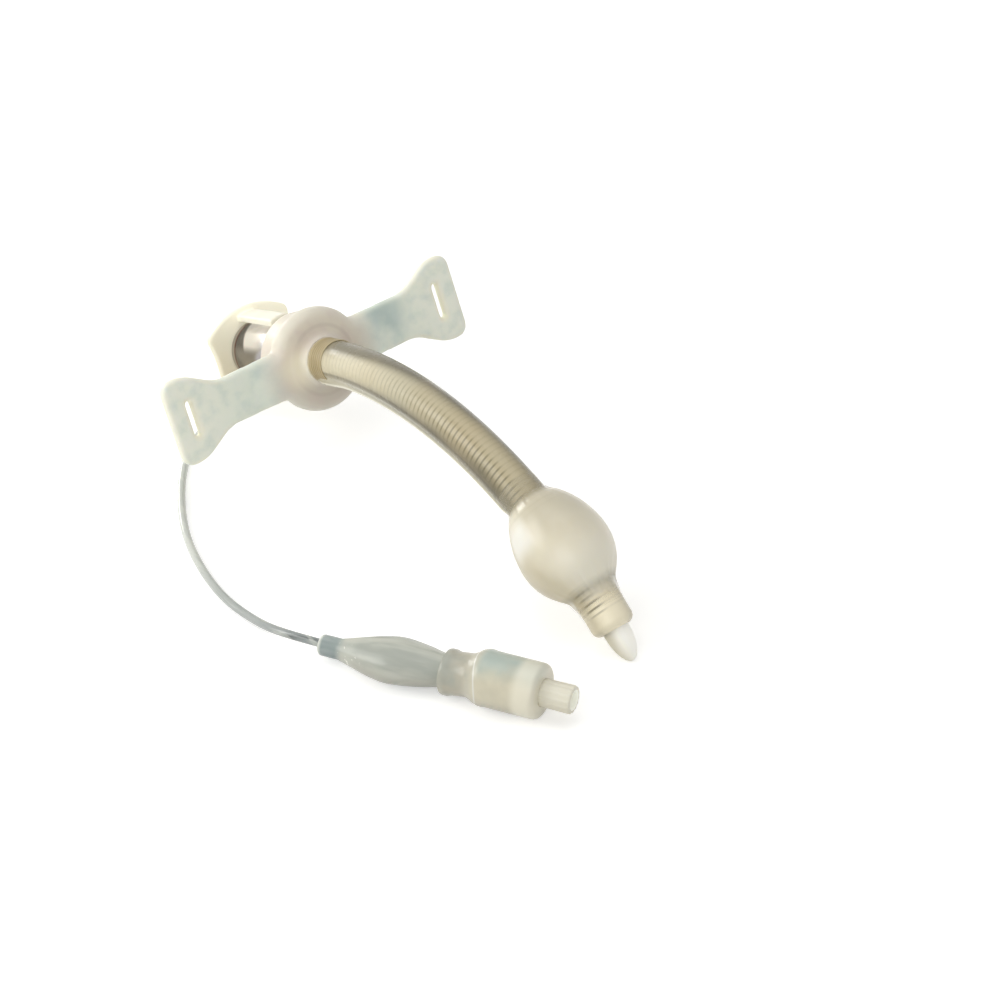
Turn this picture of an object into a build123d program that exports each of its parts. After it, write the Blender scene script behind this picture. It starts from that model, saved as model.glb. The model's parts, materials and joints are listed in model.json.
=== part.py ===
from build123d import *
import os
from math import cos, degrees, radians, sin, sqrt, tan

# A wire-reinforced silicone tracheostomy tube with its obturator in place.
# It lies as it comes to rest: the obturator's tip and the lower edge of its handle are on the table,
# and so are the pilot balloon's valve and the pilot line.
# +X runs along the flange's right wing, the tube runs out towards -Y, and +Z is up.
# Places along the airway are distances from the flange's middle plane, positive towards the tip.

# Airway tube: straight through the flange, then one even bend to the tip
tube_radius = 5.25
bore_radius = 3.75
tube_back = 7.0
straight_length = 6.7
bend_radius = 102.75
tube_length = 122.0
tube_end_round = 1.1

# Inflation channel, a ridge along the lower left of the tube that thins out under the cuff
ridge_angle = 221
ridge_centre_radius = 4.95
ridge_radius = 0.9
ridge_thin_radius = 0.5
ridge_start = -5.0
ridge_end_from_tip = 42.5
ridge_thin_from_tip = 32.0
channel_radius = 0.26

# Reinforcing wire, moulded in the wall
wire_coil_radius = 4.45
wire_thickness = 0.4
wire_sides = 8
wire_start = 5.2
wire_pitch = 1.55
wire_end_from_tip = 4.5

# Cuff, a thin film bonded to the tube at its two necks and blown up between them
cuff_start_from_tip = 40.5
cuff_swell_start_from_tip = 35.6
cuff_swell_end_from_tip = 8.8
cuff_end_from_tip = 5.6
cuff_radius = 11.15
cuff_wall = 0.35
cuff_neck_wall = 0.5
cuff_place_shares = (0, 0.1, 0.21, 0.34, 0.5, 0.65, 0.77, 0.88, 1)
cuff_swell_shares = (0, 0.39, 0.67, 0.87, 1, 0.93, 0.7, 0.36, 0)

# Neck flange: hub, sleeve round the tube, collar round the connector, and two wings with tie slots
hub_rim_radius = 12.95
hub_rim_place = 0.45
hub_face = 3.7
hub_face_radius = 10.4
hub_step_radius = 8.5
hub_step = 0.35
sleeve_front = 11.0
sleeve_wall = 0.55
sleeve_foot_wall = 1.0
collar_radius = 11.2
collar_start = 2.6
collar_back = 9.6
collar_round = 1.5
wing_thickness = 2.6
wing_edge_round = 0.9
wing_reach = 43.0
wing_root_half_height = 6.4
wing_neck_half_height = 5.95
wing_flare_width = 8.6
wing_end_width = 6.4
wing_end_half_height = 10.9
wing_neck_round = 5.0
wing_flare_round = 4.0
wing_corner_round = 3.0
slot_inset = 5.8
slot_length = 9.2
slot_width = 1.5
slot_bevel = 0.55

# Metal connector with the standard 15 mm barrel, set in the flange's collar
barrel_radius = 7.5
rim_back = 29.5
barrel_front = 7.6
socket_radius = 6.6
socket_front = 1.6
socket_bead = 0.7
socket_bead_length = 1.2
mouth_radius = 6.5
mouth_inner_radius = 5.9
mouth_front = 12.0
throat_front = 8.6
rim_round = 0.3

# Obturator: a handle plate with two side arms, and a rod with a bullet-shaped tip
plate_thickness = 2.2
plate_half_width = 12.2
plate_waist_half_width = 11.3
plate_corner_half_height = 7.2
plate_half_height = 11.7
plate_corner_round = 1.6
plate_edge_round = 0.6
arm_width = 5.2
arm_inner_radius = 8.7
arm_thickness = 1.7
arm_front = 12.6
boss_radius = 3.7
boss_length = 4.5
rod_radius = 2.2
rod_socket_depth = 1.2
tip_radius = 3.2
tip_taper_from_tip = 11.5
tip_full_from_tip = 7.0
nose_proud = 0.4
nose_length = 7.6

# Pilot balloon and check valve, on one level axis along the table
valve_start_x = -52.5
valve_start_from_hub = -69.5
valve_heading = -63
sleeve_radius = 6.5
neck_sleeve_radius = 4.85
neck_rim_height = 0.35
neck_rim_slope = 0.4
neck_rim_width = 1.4
neck_sleeve_start = 32.6
neck_sleeve_end = 39.2
sleeve_shoulder_end = 42.3
sleeve_end = 57.4
sleeve_end_round = 1.6
line_collar_radius = 2.5
line_collar_length = 6.4
line_collar_height = 4.1
balloon_half_width = 6.4
balloon_half_height = 4.7
balloon_place_shares = (0, 0.17, 0.36, 0.54, 0.72, 0.87, 1)
balloon_swell_shares = (0, 0.33, 0.74, 1, 0.8, 0.46, 0)
balloon_wall = 0.6
balloon_neck_radius = 3.6
balloon_neck_end = 36.8

valve_body_radius = 5.0
valve_body_start = 43.0
valve_shell_end = 56.0
port_radius = 3.2
port_end = 64.8
luer_radius = 2.15
luer_depth = 5.0
luer_throat_radius = 1.8
luer_throat_depth = 4.0
seat_hole_radius = 1.25
seat_thickness = 1.2
chamber_radius = 3.0
base_length = 2.4
base_lip = 0.9
base_hole_radius = 0.8
base_barb_radius = 1.6
base_barb_length = 3.0
seal_thickness = 0.9
seal_radius = 2.2
plunger_head_radius = 2.4
plunger_head_thickness = 1.2
plunger_stem_radius = 0.8
plunger_stem_length = 5.8
plunger_tail_radius = 0.6
plunger_tail_length = 2.0
spring_radius = 1.6
spring_wire_radius = 0.18
spring_turns = 4

# Pilot line: its exit from the collar, then points given from the flange's foot on the table
line_radius = 1.0
line_exit_angle = 225
line_exit_radius = 9.35
line_socket_depth = 2.0
line_first_run = 7.5
line_last_run = 13.8
line_seat_share = 0.86
line_arc_share = 0.45
line_points = [
    (-11.0, 20.6, 4.6),
    (-18.6, 22.4, 1.4),
    (-27.6, 17.8, 1.0),
    (-36.4, 9.4, 1.0),
    (-44.6, -2.2, 1.0),
    (-50.6, -13.4, 1.0),
    (-54.9, -26.2, 1.0),
    (-57.2, -39.0, 1.0),
    (-56.6, -50.6, 1.1),
]

clearance = 0.05
overrun = 1.0

# Everything near the tip keeps its distance from the tube's end
ridge_end = tube_length - ridge_end_from_tip
ridge_thin_end = tube_length - ridge_thin_from_tip
wire_end = tube_length - wire_end_from_tip
cuff_start = tube_length - cuff_start_from_tip
cuff_swell_start = tube_length - cuff_swell_start_from_tip
cuff_swell_end = tube_length - cuff_swell_end_from_tip
cuff_end = tube_length - cuff_end_from_tip
tip_taper_start = tube_length - tip_taper_from_tip
tip_taper_end = tube_length - tip_full_from_tip
nose_start = tube_length + nose_proud


def turn_at(distance):
    return max(0, distance - straight_length) / bend_radius


# The airway's centre line in the plane of its bend: distance along the hub's axis, height off it
def centre_line(distance):
    turn = turn_at(distance)
    along_axis = min(distance, straight_length) + bend_radius * sin(turn)
    return along_axis, -bend_radius * (1 - cos(turn))


# How deep the nose's ellipse reaches from its centre in a direction at this angle from its axis
def nose_reach(angle):
    return sqrt((nose_length * cos(angle)) ** 2 + (tip_radius * sin(angle)) ** 2)


def nose_bottom(pitch):
    along_axis, off_axis = centre_line(nose_start)
    level = along_axis * sin(pitch) + off_axis * cos(pitch)
    return level - nose_reach(radians(90) - turn_at(nose_start) + pitch)


def plate_bottom(pitch):
    along_axis = plate_edge_round - rim_back - plate_thickness
    off_axis = plate_edge_round - plate_half_height
    return along_axis * sin(pitch) + off_axis * cos(pitch) - plate_edge_round


# The pitch at which the handle and the nose stand on one level, found by halving
def resting_pitch():
    low, high = radians(5), radians(45)
    while high - low > radians(1e-7):
        middle = (low + high) / 2
        if nose_bottom(middle) > plate_bottom(middle):
            high = middle
        else:
            low = middle
    return low


pitch = resting_pitch()
hub_height = -plate_bottom(pitch)
nose_along, nose_off = centre_line(nose_start)
nose_slope = turn_at(nose_start) - pitch
front_reach = nose_along * cos(pitch) - nose_off * sin(pitch) + nose_reach(nose_slope)
plate_rear = plate_edge_round - rim_back - plate_thickness
plate_top = plate_half_height - plate_edge_round
back_reach = plate_top * sin(pitch) - plate_rear * cos(pitch) + plate_edge_round
hub_y = (front_reach - back_reach) / 2

across = Vector(1, 0, 0)
ahead = Vector(0, -cos(pitch), sin(pitch))
rise = Vector(0, sin(pitch), cos(pitch))
hub_centre = Vector(0, hub_y, hub_height)
hub_axis = Axis(hub_centre, ahead)
hub_side = Plane(origin=hub_centre, x_dir=ahead, z_dir=-across)
bend_axis = Axis(hub_centre + ahead * straight_length - rise * bend_radius, across)


# The plane across the airway at a distance along it: its x is the flange's, its z points to the tip
def station(distance):
    along_axis, off_axis = centre_line(distance)
    turn = turn_at(distance)
    origin = hub_centre + ahead * along_axis + rise * off_axis
    return Plane(origin=origin, x_dir=across, z_dir=ahead * cos(turn) - rise * sin(turn))


def bend_between(first, last):
    return degrees(turn_at(last) - turn_at(first))


def polar(radius, angle):
    return radius * cos(radians(angle)), radius * sin(radians(angle))


# The tube's outer form with its ridge, solid, as far as a given place
def add_tube_form(radius, ridge, first, last, ridge_first, ridge_last, mode=Mode.ADD):
    ridge_place = polar(ridge_centre_radius, ridge_angle)
    for size, place, start, end in (
        (radius, (0, 0), first, last),
        (ridge, ridge_place, ridge_first, ridge_last),
    ):
        with BuildSketch(station(start)) as straight_section:
            with Locations(place):
                Circle(size)
        extrude(straight_section.sketch, amount=straight_length - start, mode=mode)
        with BuildSketch(station(straight_length)) as bent_section:
            with Locations(place):
                Circle(size)
        turn = bend_between(straight_length, end)
        revolve(bent_section.sketch, axis=bend_axis, revolution_arc=turn, mode=mode)


# The tube's wall, with the ridge, the bore and the fine inflation channel
with BuildPart() as shaft_tube:
    add_tube_form(tube_radius, ridge_radius, -tube_back, tube_length, ridge_start, ridge_end)
    with BuildSketch(station(ridge_end)):
        with Locations(polar(ridge_centre_radius, ridge_angle)):
            Circle(ridge_thin_radius)
    revolve(axis=bend_axis, revolution_arc=bend_between(ridge_end, ridge_thin_end))
    end_rim = shaft_tube.edges().filter_by(GeomType.CIRCLE).sort_by(Axis.Y)[0]
    fillet(end_rim, radius=tube_end_round)
    add_tube_form(
        bore_radius, channel_radius, -tube_back, tube_length, ridge_start, ridge_thin_end, Mode.SUBTRACT
    )
shaft_tube.part.label = "shaft_tube"

# The wire coil, one ring for each turn
wire_turns = int((wire_end - wire_start) / wire_pitch) + 1
with BuildPart() as reinforcing_wire:
    with BuildSketch(*[station(wire_start + turn * wire_pitch) for turn in range(wire_turns)]):
        RegularPolygon(wire_coil_radius + wire_thickness / 2, wire_sides)
        RegularPolygon(wire_coil_radius - wire_thickness / 2, wire_sides, mode=Mode.SUBTRACT)
    extrude(amount=wire_thickness / 2, both=True)
reinforcing_wire.part.label = "reinforcing_wire"

# The cuff: two necks that follow the tube, and the swollen film between them
cuff_neck_radius = tube_radius + cuff_neck_wall


def add_cuff_form(neck, widest, mode=Mode.ADD):
    sections = []
    for share, swell in zip(cuff_place_shares, cuff_swell_shares):
        with BuildSketch(station(cuff_swell_start + share * (cuff_swell_end - cuff_swell_start))) as section:
            Circle(neck + (widest - neck) * swell)
        sections.append(section.sketch)
    loft(sections, mode=mode)


with BuildPart() as cuff:
    for first, last in ((cuff_start, cuff_swell_start), (cuff_swell_end, cuff_end)):
        with BuildSketch(station(first)):
            Circle(cuff_neck_radius)
        revolve(axis=bend_axis, revolution_arc=bend_between(first, last))
    add_cuff_form(cuff_neck_radius, cuff_radius)
    add_cuff_form(tube_radius, cuff_radius - cuff_wall, Mode.SUBTRACT)
    with BuildSketch(station(cuff_start)):
        Circle(tube_radius)
        with Locations(polar(ridge_centre_radius, ridge_angle)):
            Circle(ridge_thin_radius)
    revolve(axis=bend_axis, revolution_arc=bend_between(cuff_start, cuff_end), mode=Mode.SUBTRACT)
cuff.part.label = "cuff"

# The neck flange, one soft moulding: the wings first, then the hub with its sleeve and collar
wing_front = station(wing_thickness / 2)
wing_flare_reach = wing_reach - wing_end_width
wing_neck_reach = wing_flare_reach - wing_flare_width
slot_reach = wing_reach - slot_inset
with BuildPart() as neck_flange:
    with BuildSketch(station(-wing_thickness / 2)) as wing_outline:
        with BuildLine():
            Polyline(
                (0, wing_root_half_height),
                (wing_neck_reach, wing_neck_half_height),
                (wing_flare_reach, wing_end_half_height),
                (wing_reach, wing_end_half_height),
                (wing_reach, 0),
            )
            mirror(about=Plane.XZ)
            mirror(about=Plane.YZ)
        make_face()
        for column in (0, -1):
            fillet(wing_outline.vertices().group_by(Axis.X)[column], radius=wing_corner_round)
        flare_corners = wing_outline.vertices().filter_by(
            lambda corner: abs(abs(corner.X) - wing_flare_reach) < clearance
        )
        fillet(flare_corners, radius=wing_flare_round)
        neck_corners = wing_outline.vertices().filter_by(
            lambda corner: abs(abs(corner.X) - wing_neck_reach) < clearance
        )
        fillet(neck_corners, radius=wing_neck_round)
    extrude(amount=wing_thickness)
    fillet(neck_flange.edges().filter_by(hub_axis, reverse=True), radius=wing_edge_round)
    with BuildSketch(hub_side):
        with BuildLine():
            Polyline(
                (-collar_back, 0),
                (-collar_back, collar_radius - collar_round),
                (collar_round - collar_back, collar_radius),
                (-collar_start, collar_radius),
            )
            ThreePointArc(
                (-collar_start, collar_radius),
                (hub_rim_place, hub_rim_radius),
                (hub_face - hub_step, hub_face_radius),
            )
            Polyline(
                (hub_face - hub_step, hub_face_radius),
                (hub_face - hub_step, hub_step_radius),
                (hub_face, hub_step_radius - hub_step),
                (hub_face, tube_radius + sleeve_foot_wall),
                (sleeve_front, tube_radius + sleeve_wall),
                (sleeve_front, 0),
                (-collar_back, 0),
            )
        make_face()
    revolve(axis=hub_axis)
    with BuildSketch(hub_side):
        with BuildLine():
            Polyline(
                (-collar_back - overrun, 0),
                (-collar_back - overrun, barrel_radius),
                (-barrel_front, barrel_radius),
                (-barrel_front, socket_radius),
                (-socket_front - socket_bead_length, socket_radius),
                (-socket_front - socket_bead_length, socket_radius + socket_bead),
                (-socket_front, socket_radius),
                (-socket_front, 0),
                (-collar_back - overrun, 0),
            )
        make_face()
    revolve(axis=hub_axis, mode=Mode.SUBTRACT)
    add_tube_form(
        tube_radius,
        ridge_radius,
        -tube_back,
        sleeve_front + overrun,
        ridge_start,
        sleeve_front + overrun,
        Mode.SUBTRACT,
    )
    with BuildSketch(wing_front.offset(overrun)):
        with Locations((slot_reach, 0), (-slot_reach, 0)):
            SlotOverall(slot_length, slot_width, rotation=90)
    extrude(amount=-wing_thickness - overrun * 2, mode=Mode.SUBTRACT)
    for face_plane in (wing_front, Plane(station(-wing_thickness / 2).origin, across, -ahead)):
        with BuildSketch(face_plane):
            with Locations((slot_reach, 0), (-slot_reach, 0)):
                SlotOverall(slot_length + slot_bevel * 2, slot_width + slot_bevel * 2, rotation=90)
        extrude(amount=-slot_bevel, taper=45, mode=Mode.SUBTRACT)
    with BuildSketch(station(-collar_back)):
        with Locations(polar(line_exit_radius, line_exit_angle)):
            Circle(line_radius)
    extrude(amount=line_socket_depth, mode=Mode.SUBTRACT)
neck_flange.part.label = "neck_flange"

# The metal connector, turned: barrel outside the collar, socket for the tube inside it
with BuildPart() as connector:
    with BuildSketch(hub_side):
        with BuildLine():
            Polyline(
                (-rim_back, mouth_radius),
                (-rim_back, barrel_radius - rim_round),
                (rim_round - rim_back, barrel_radius),
                (-barrel_front, barrel_radius),
                (-barrel_front, socket_radius),
                (-socket_front - socket_bead_length, socket_radius),
                (-socket_front - socket_bead_length, socket_radius + socket_bead),
                (-socket_front, socket_radius),
                (-socket_front, tube_radius),
                (-tube_back, tube_radius),
                (-tube_back, bore_radius),
                (-throat_front, bore_radius),
                (-mouth_front, mouth_inner_radius),
                (-rim_back, mouth_radius),
            )
        make_face()
    revolve(axis=hub_axis)
    with BuildSketch(station(ridge_start)):
        with Locations(polar(ridge_centre_radius, ridge_angle)):
            Circle(ridge_radius)
    extrude(amount=-ridge_start, mode=Mode.SUBTRACT)
connector.part.label = "connector"

# The obturator's handle: a waisted plate over the connector's mouth, with an arm above and below
with BuildPart() as obturator_handle:
    with BuildSketch(station(-rim_back)) as plate_outline:
        with BuildLine():
            ThreePointArc(
                (-plate_half_width, plate_corner_half_height),
                (0, plate_half_height),
                (plate_half_width, plate_corner_half_height),
            )
            ThreePointArc(
                (plate_half_width, plate_corner_half_height),
                (plate_waist_half_width, 0),
                (plate_half_width, -plate_corner_half_height),
            )
            mirror(about=Plane.XZ)
            mirror(about=Plane.YZ)
        make_face()
        fillet(plate_outline.vertices(), radius=plate_corner_round)
    extrude(amount=-plate_thickness)
    fillet(obturator_handle.edges().filter_by(hub_axis, reverse=True), radius=plate_edge_round)
    with BuildSketch(station(-rim_back - plate_edge_round)):
        Circle(arm_inner_radius + arm_thickness)
        Circle(arm_inner_radius, mode=Mode.SUBTRACT)
        Rectangle(arm_width, plate_half_height * 2, mode=Mode.INTERSECT)
    extrude(amount=rim_back + plate_edge_round - arm_front)
    with BuildSketch(station(-rim_back - plate_edge_round)):
        Circle(boss_radius)
    extrude(amount=boss_length + plate_edge_round)
    with BuildSketch(station(-rim_back - rod_socket_depth)):
        Circle(rod_radius)
    extrude(amount=rod_socket_depth + boss_length + overrun, mode=Mode.SUBTRACT)
obturator_handle.part.label = "obturator_handle"

# The obturator's rod and its bullet-shaped tip, which fills the tube's end
nose_base = station(nose_start)
nose_side = Plane(origin=nose_base.origin, x_dir=nose_base.z_dir, z_dir=-across)
with BuildPart() as obturator_rod:
    with BuildSketch(station(-rim_back - rod_socket_depth)):
        Circle(rod_radius)
    extrude(amount=rim_back + rod_socket_depth + straight_length)
    with BuildSketch(station(straight_length)):
        Circle(rod_radius)
    revolve(axis=bend_axis, revolution_arc=bend_between(straight_length, tip_taper_start))
    with BuildSketch(station(tip_taper_start)):
        Circle(rod_radius)
    with BuildSketch(station(tip_taper_end)):
        Circle(tip_radius)
    loft()
    with BuildSketch(station(tip_taper_end)):
        Circle(tip_radius)
    revolve(axis=bend_axis, revolution_arc=bend_between(tip_taper_end, nose_start))
    with BuildSketch(nose_side):
        Ellipse(nose_length, tip_radius)
        Rectangle(nose_length, tip_radius, align=(Align.MIN, Align.MIN), mode=Mode.INTERSECT)
    revolve(axis=Axis(nose_base.origin, nose_base.z_dir))
obturator_rod.part.label = "obturator_rod"

# The valve's level axis on the table, and planes across it
heading = Vector(cos(radians(valve_heading)), sin(radians(valve_heading)), 0)
valve_foot = Vector(valve_start_x, hub_y + valve_start_from_hub, 0)
level_side = Vector(0, 0, 1).cross(heading)


def valve_station(distance, height=sleeve_radius):
    return Plane(valve_foot + heading * distance + Vector(0, 0, height), -level_side, heading)


valve_axis = Axis(valve_station(0).origin, heading)
valve_side = Plane(valve_station(0).origin, heading, level_side)


# The balloon's axis droops from the valve's to its collar's; its section swells from round to flat oval
def balloon_plane(share):
    place = line_collar_length + share * (neck_sleeve_start - line_collar_length)
    return valve_station(place, line_collar_height + share * (sleeve_radius - line_collar_height))


def add_balloon_form(wall, mode=Mode.ADD):
    sections = []
    for share, swell in zip(balloon_place_shares, balloon_swell_shares):
        round_radius = line_collar_radius + share * (balloon_neck_radius - line_collar_radius)
        half_width = round_radius + swell * (balloon_half_width - round_radius)
        half_height = round_radius + swell * (balloon_half_height - round_radius)
        with BuildSketch(balloon_plane(share)) as section:
            Ellipse(half_width - wall, half_height - wall)
        sections.append(section.sketch)
    loft(sections, mode=mode)


with BuildPart() as pilot_balloon:
    with BuildSketch(valve_station(0, line_collar_height)):
        Circle(line_collar_radius)
    extrude(amount=line_collar_length)
    add_balloon_form(0)
    with BuildSketch(valve_station(neck_sleeve_start)):
        Circle(balloon_neck_radius)
    extrude(amount=balloon_neck_end - neck_sleeve_start)
    add_balloon_form(balloon_wall, Mode.SUBTRACT)
    with BuildSketch(valve_station(0, line_collar_height)):
        Circle(line_radius)
    extrude(amount=line_collar_length, mode=Mode.SUBTRACT)
    with BuildSketch(valve_station(neck_sleeve_start)):
        Circle(balloon_neck_radius - balloon_wall)
    extrude(amount=balloon_neck_end - neck_sleeve_start, mode=Mode.SUBTRACT)
pilot_balloon.part.label = "pilot_balloon"

# The soft sleeve that grips the balloon's neck at one end and the valve at the other
neck_rim_start = neck_sleeve_start + neck_rim_slope
neck_rim_end = neck_rim_start + neck_rim_width
with BuildPart() as valve_sleeve:
    with BuildSketch(valve_side):
        with BuildLine():
            Polyline(
                (neck_sleeve_start, balloon_neck_radius),
                (neck_sleeve_start, neck_sleeve_radius),
                (neck_rim_start, neck_sleeve_radius + neck_rim_height),
                (neck_rim_end, neck_sleeve_radius + neck_rim_height),
                (neck_rim_end + neck_rim_slope, neck_sleeve_radius),
                (neck_sleeve_end, neck_sleeve_radius),
                (sleeve_shoulder_end, sleeve_radius),
                (sleeve_end - sleeve_end_round, sleeve_radius),
            )
            RadiusArc(
                (sleeve_end - sleeve_end_round, sleeve_radius),
                (sleeve_end, sleeve_radius - sleeve_end_round),
                sleeve_end_round,
            )
            Polyline(
                (sleeve_end, sleeve_radius - sleeve_end_round),
                (sleeve_end, port_radius),
                (valve_shell_end, port_radius),
                (valve_shell_end, valve_body_radius),
                (valve_body_start, valve_body_radius),
                (valve_body_start, base_barb_radius),
                (balloon_neck_end, base_barb_radius),
                (balloon_neck_end, balloon_neck_radius),
                (neck_sleeve_start, balloon_neck_radius),
            )
        make_face()
    revolve(axis=valve_axis)
valve_sleeve.part.label = "valve_sleeve"

# The valve's places along its axis, from the port's mouth inwards
luer_bottom = port_end - luer_depth
throat_bottom = luer_bottom - luer_throat_depth
seat_face = throat_bottom - seat_thickness
base_face = valve_body_start + base_length

# The white valve body: the port outside, the seat and the spring's chamber inside
with BuildPart() as valve_body:
    with BuildSketch(valve_side):
        with BuildLine():
            Polyline(
                (valve_body_start + base_lip, chamber_radius),
                (valve_body_start + base_lip, valve_body_radius),
                (valve_shell_end, valve_body_radius),
                (valve_shell_end, port_radius),
                (port_end, port_radius),
                (port_end, luer_radius),
                (luer_bottom, luer_radius),
                (luer_bottom, luer_throat_radius),
                (throat_bottom, luer_throat_radius),
                (throat_bottom, seat_hole_radius),
                (seat_face, seat_hole_radius),
                (seat_face, chamber_radius),
                (valve_body_start + base_lip, chamber_radius),
            )
        make_face()
    revolve(axis=valve_axis)
valve_body.part.label = "valve_body"

# The base plugs the chamber, carries the spring and passes the air to the balloon
with BuildPart() as valve_base:
    with BuildSketch(valve_side):
        with BuildLine():
            Polyline(
                (valve_body_start - base_barb_length, base_hole_radius),
                (valve_body_start - base_barb_length, base_barb_radius),
                (valve_body_start, base_barb_radius),
                (valve_body_start, valve_body_radius),
                (valve_body_start + base_lip, valve_body_radius),
                (valve_body_start + base_lip, chamber_radius),
                (base_face, chamber_radius),
                (base_face, base_hole_radius),
                (valve_body_start - base_barb_length, base_hole_radius),
            )
        make_face()
    revolve(axis=valve_axis)
valve_base.part.label = "valve_base"

# The plunger: a stem that a syringe pushes, the head that carries the seal, a tail in the spring
seal_back = seat_face - seal_thickness
head_back = seal_back - plunger_head_thickness
with BuildPart() as valve_plunger:
    with BuildSketch(valve_side):
        with BuildLine():
            Polyline(
                (head_back - plunger_tail_length, 0),
                (head_back - plunger_tail_length, plunger_tail_radius),
                (head_back, plunger_tail_radius),
                (head_back, plunger_head_radius),
                (seal_back, plunger_head_radius),
                (seal_back, plunger_stem_radius),
                (seal_back + plunger_stem_length, plunger_stem_radius),
                (seal_back + plunger_stem_length, 0),
                (head_back - plunger_tail_length, 0),
            )
        make_face()
    revolve(axis=valve_axis)
valve_plunger.part.label = "valve_plunger"

with BuildPart() as valve_seal:
    with BuildSketch(valve_station(seal_back)):
        Circle(seal_radius)
        Circle(plunger_stem_radius, mode=Mode.SUBTRACT)
    extrude(amount=seal_thickness)
valve_seal.part.label = "valve_seal"

# The spring between the base and the plunger's head
spring_start = base_face + spring_wire_radius + clearance
spring_length = head_back - base_face - (spring_wire_radius + clearance) * 2
spring_plane = valve_station(spring_start)
with BuildPart() as valve_spring:
    with BuildLine():
        coil = Helix(
            pitch=spring_length / spring_turns,
            height=spring_length,
            radius=spring_radius,
            center=spring_plane.origin,
            direction=heading,
        )
    with BuildSketch(Plane(coil @ 0, z_dir=coil % 0)):
        RegularPolygon(spring_wire_radius, 6)
    sweep(is_frenet=True)
valve_spring.part.label = "valve_spring"

# The pilot line: out of the collar's back, down behind the left wing, then over the table
line_socket = station(-collar_back + line_socket_depth)
exit_x, exit_rise = polar(line_exit_radius, line_exit_angle)
line_start = line_socket.origin + across * exit_x + rise * exit_rise
line_out = line_start - ahead * (line_socket_depth + line_first_run)
line_end = valve_station(line_collar_length * line_seat_share, line_collar_height).origin
line_in = line_end - heading * line_last_run
line_route = [line_start, line_out]
line_route += [Vector(x, hub_y + y, z) for x, y, z in line_points]
line_route += [line_in, line_end]


# Each corner's arc is as large as its two runs allow
def corner_radius(before, corner, after):
    run_in = corner - before
    run_out = after - corner
    half_turn = radians(run_in.get_angle(run_out)) / 2
    return line_arc_share * min(run_in.length, run_out.length) / tan(half_turn)


line_radii = [corner_radius(*line_route[place:place + 3]) for place in range(len(line_route) - 2)]
with BuildPart() as pilot_line:
    with BuildLine() as line_path:
        FilletPolyline(*line_route, radius=line_radii)
    with BuildSketch(Plane(line_path.line @ 0, z_dir=line_path.line % 0)):
        Circle(line_radius)
    sweep()
pilot_line.part.label = "pilot_line"

print("pitch", round(degrees(pitch), 3), "hub height", round(hub_height, 3), "hub y", round(hub_y, 3))
print("pilot line radii", [round(radius, 1) for radius in line_radii])
print("pilot line length", round(line_path.wire().length, 2))
print("pilot line route", [tuple(round(value, 2) for value in point) for point in line_route])

os.makedirs("parts", exist_ok=True)
for piece in (
    shaft_tube,
    reinforcing_wire,
    cuff,
    neck_flange,
    connector,
    obturator_handle,
    obturator_rod,
    pilot_line,
    pilot_balloon,
    valve_sleeve,
    valve_body,
    valve_base,
    valve_plunger,
    valve_seal,
    valve_spring,
):
    export_step(piece.part, f"parts/{piece.part.label}.step")
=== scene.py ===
import json
from math import cos, pi, radians, sin, sqrt, tau

import bmesh
import bpy
from mathutils import Matrix, Vector


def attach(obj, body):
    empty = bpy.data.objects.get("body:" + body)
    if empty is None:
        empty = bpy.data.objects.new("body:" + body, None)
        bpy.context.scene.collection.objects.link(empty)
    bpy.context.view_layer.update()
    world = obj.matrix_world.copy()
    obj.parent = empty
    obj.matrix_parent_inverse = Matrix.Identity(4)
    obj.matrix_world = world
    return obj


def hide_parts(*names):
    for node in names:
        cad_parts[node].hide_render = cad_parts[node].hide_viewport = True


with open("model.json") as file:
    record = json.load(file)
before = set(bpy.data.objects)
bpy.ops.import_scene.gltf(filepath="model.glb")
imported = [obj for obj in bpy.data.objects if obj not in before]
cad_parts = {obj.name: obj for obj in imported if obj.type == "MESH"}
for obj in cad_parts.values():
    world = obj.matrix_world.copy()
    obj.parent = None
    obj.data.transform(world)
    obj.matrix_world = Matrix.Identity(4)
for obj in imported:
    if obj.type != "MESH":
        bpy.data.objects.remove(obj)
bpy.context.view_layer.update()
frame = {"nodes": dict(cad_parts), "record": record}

mm = 0.001
scene = bpy.context.scene
scene.view_settings.view_transform = "Standard"

# The airway's frame comes from the tie slots, the valve's from its port
mounts = {mount["name"]: mount for mount in frame["record"]["mounts"]}
leftSlot = Vector(mounts["tie_slot_left"]["pos_m"])
rightSlot = Vector(mounts["tie_slot_right"]["pos_m"])
hubCentre = (leftSlot + rightSlot) / 2
across = (rightSlot - leftSlot).normalized()
ahead = Vector(mounts["tie_slot_right"]["axis"]).normalized()
rise = ahead.cross(across)
portMouth = Vector(mounts["luer_port"]["pos_m"])
heading = Vector(mounts["luer_port"]["axis"]).normalized()
upward = Vector((0, 0, 1))

airway = {
    "straight": 6.7 * mm,  # through the flange, then one even bend
    "bendRadius": 102.75 * mm,
}
valvePort = 64.8 * mm  # the port's mouth, measured along the valve from its line collar


def airwayAt(distance):
    turn = max(0, distance - airway["straight"]) / airway["bendRadius"]
    along = min(distance, airway["straight"]) + airway["bendRadius"] * sin(turn)
    off = airway["bendRadius"] * (cos(turn) - 1)
    forward = ahead * cos(turn) - rise * sin(turn)
    up = rise * cos(turn) + ahead * sin(turn)
    axes = Matrix((across, up, forward)).transposed().to_4x4()
    return Matrix.Translation(hubCentre + ahead * along + rise * off) @ axes


def valveAt(distance, height=None):
    axes = Matrix((upward.cross(heading), upward, heading)).transposed().to_4x4()
    place = portMouth + heading * (distance - valvePort)
    if height is not None:
        place.z = height
    return Matrix.Translation(place) @ axes


def ease(value, low, high):
    share = min(1, max(0, (value - low) / (high - low)))
    return share * share * (3 - 2 * share)


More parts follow.
